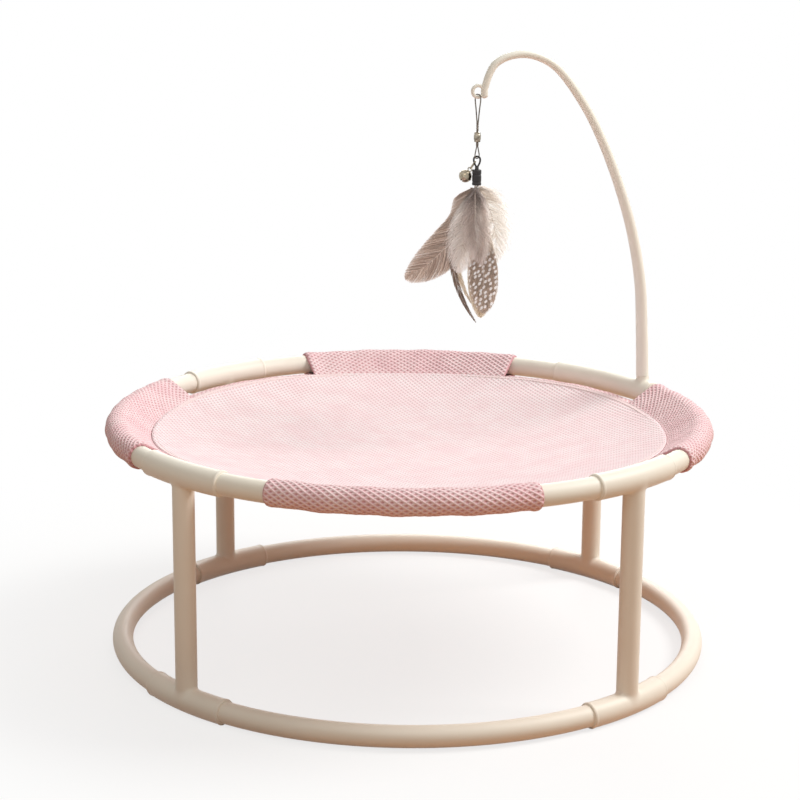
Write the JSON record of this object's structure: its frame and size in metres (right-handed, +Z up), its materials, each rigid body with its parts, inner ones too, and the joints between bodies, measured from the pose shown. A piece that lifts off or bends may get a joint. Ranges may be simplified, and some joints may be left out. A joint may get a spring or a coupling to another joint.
{
  "type": "raised cat hammock",
  "caption": "Round raised pet bed: two tube rings joined by legs, a sewn mesh hammock on the upper ring, and a bent wand that hangs a bell and a bunch of feathers.",
  "frame": {"origin": "on the floor, below the common centre of the two rings", "axes": "+Z up; +X to the right and +Y to the back, seen from the pictured front"},
  "size_m": [0.501, 0.501, 0.4899],
  "materials": {
    "connector": "moulded cream plastic, satin gloss",
    "tube": "cream powder coat on bent steel tube",
    "band_mesh": "large-hole pink air mesh",
    "panel_mesh": "fine pale pink air mesh",
    "wand": "moulded cream plastic, satin",
    "hook_wire": "drawn spring wire",
    "swivel_metal": "nickel-plated brass, worn",
    "bell_metal": "thin plated sheet",
    "black_wire": "black lacquered wire",
    "ferrule": "black crimped cap",
    "feather_white": "soft white down",
    "feather_mauve": "mauve-grey vane",
    "feather_spotted": "dark vane with pale spots",
    "feather_cream": "cream vane",
    "feather_brown": "narrow brown hackle"
  },
  "bodies": {
    "frame": {"lower_connector_back_right": "connector", "lower_connector_back_left": "connector", "lower_connector_front_left": "connector", "lower_connector_front_right": "connector", "lower_tube_back": "tube", "lower_tube_left": "tube", "lower_tube_front": "tube", "lower_tube_right": "tube", "upper_connector_back_right": "connector", "upper_connector_back_left": "connector", "upper_connector_front_left": "connector", "upper_connector_front_right": "connector", "upper_tube_back": "tube", "upper_tube_left": "tube", "upper_tube_front": "tube", "upper_tube_right": "tube", "leg_back_right": "tube", "leg_back_left": "tube", "leg_front_left": "tube", "leg_front_right": "tube", "sleeve_back": "band_mesh", "sleeve_left": "band_mesh", "sleeve_front": "band_mesh", "sleeve_right": "band_mesh", "hammock_panel": "panel_mesh"},
    "wand": {"wand": "wand"},
    "hook": {"snap_hook": "hook_wire"},
    "barrel": {"swivel_barrel": "swivel_metal"},
    "eye": {"swivel_eye": "hook_wire"},
    "toy": {"toy_loop": "black_wire", "ferrule": "ferrule", "pale_feather": "feather_white", "grey_feather": "feather_mauve", "spotted_feather": "feather_spotted", "brown_hackle": "feather_brown", "mauve_feather": "feather_mauve", "cream_hackle": "feather_cream", "cream_feather": "feather_cream", "white_feather": "feather_white"},
    "bell": {"bell_link": "bell_metal", "bell_shell": "bell_metal"},
    "pellet": {"bell_pellet": "bell_metal"}
  },
  "joints": [
    {"name": "wand_swivel", "type": "hinge", "parent": "frame", "child": "wand", "pos_m": [0.20641, 0.12163, 0.2035], "axis": [0, 0, 1], "continuous": true},
    {"name": "hook_swing", "type": "hinge", "parent": "wand", "child": "hook", "pos_m": [0.05524, 0.07397, 0.45164], "axis": [-0.9537, -0.3007, 0], "range_deg": [-45, 45]},
    {"name": "barrel_turn", "type": "hinge", "parent": "hook", "child": "barrel", "pos_m": [0.05524, 0.07397, 0.41824], "axis": [0, 0, 1], "continuous": true},
    {"name": "eye_turn", "type": "hinge", "parent": "barrel", "child": "eye", "pos_m": [0.05524, 0.07397, 0.41399], "axis": [0, 0, 1], "continuous": true},
    {"name": "toy_swing", "type": "hinge", "parent": "eye", "child": "toy", "pos_m": [0.05524, 0.07397, 0.40034], "axis": [0.788, 0.6157, 0], "range_deg": [-40, 40]},
    {"name": "bell_swing", "type": "hinge", "parent": "toy", "child": "bell", "pos_m": [0.05321, 0.07471, 0.3965], "axis": [0.342, 0.9397, 0], "range_deg": [0, 60]},
    {"name": "pellet_rattle", "type": "slide", "parent": "bell", "child": "pellet", "axis": [0, 0, 1], "range_m": [0, 0.006]}
  ]
}
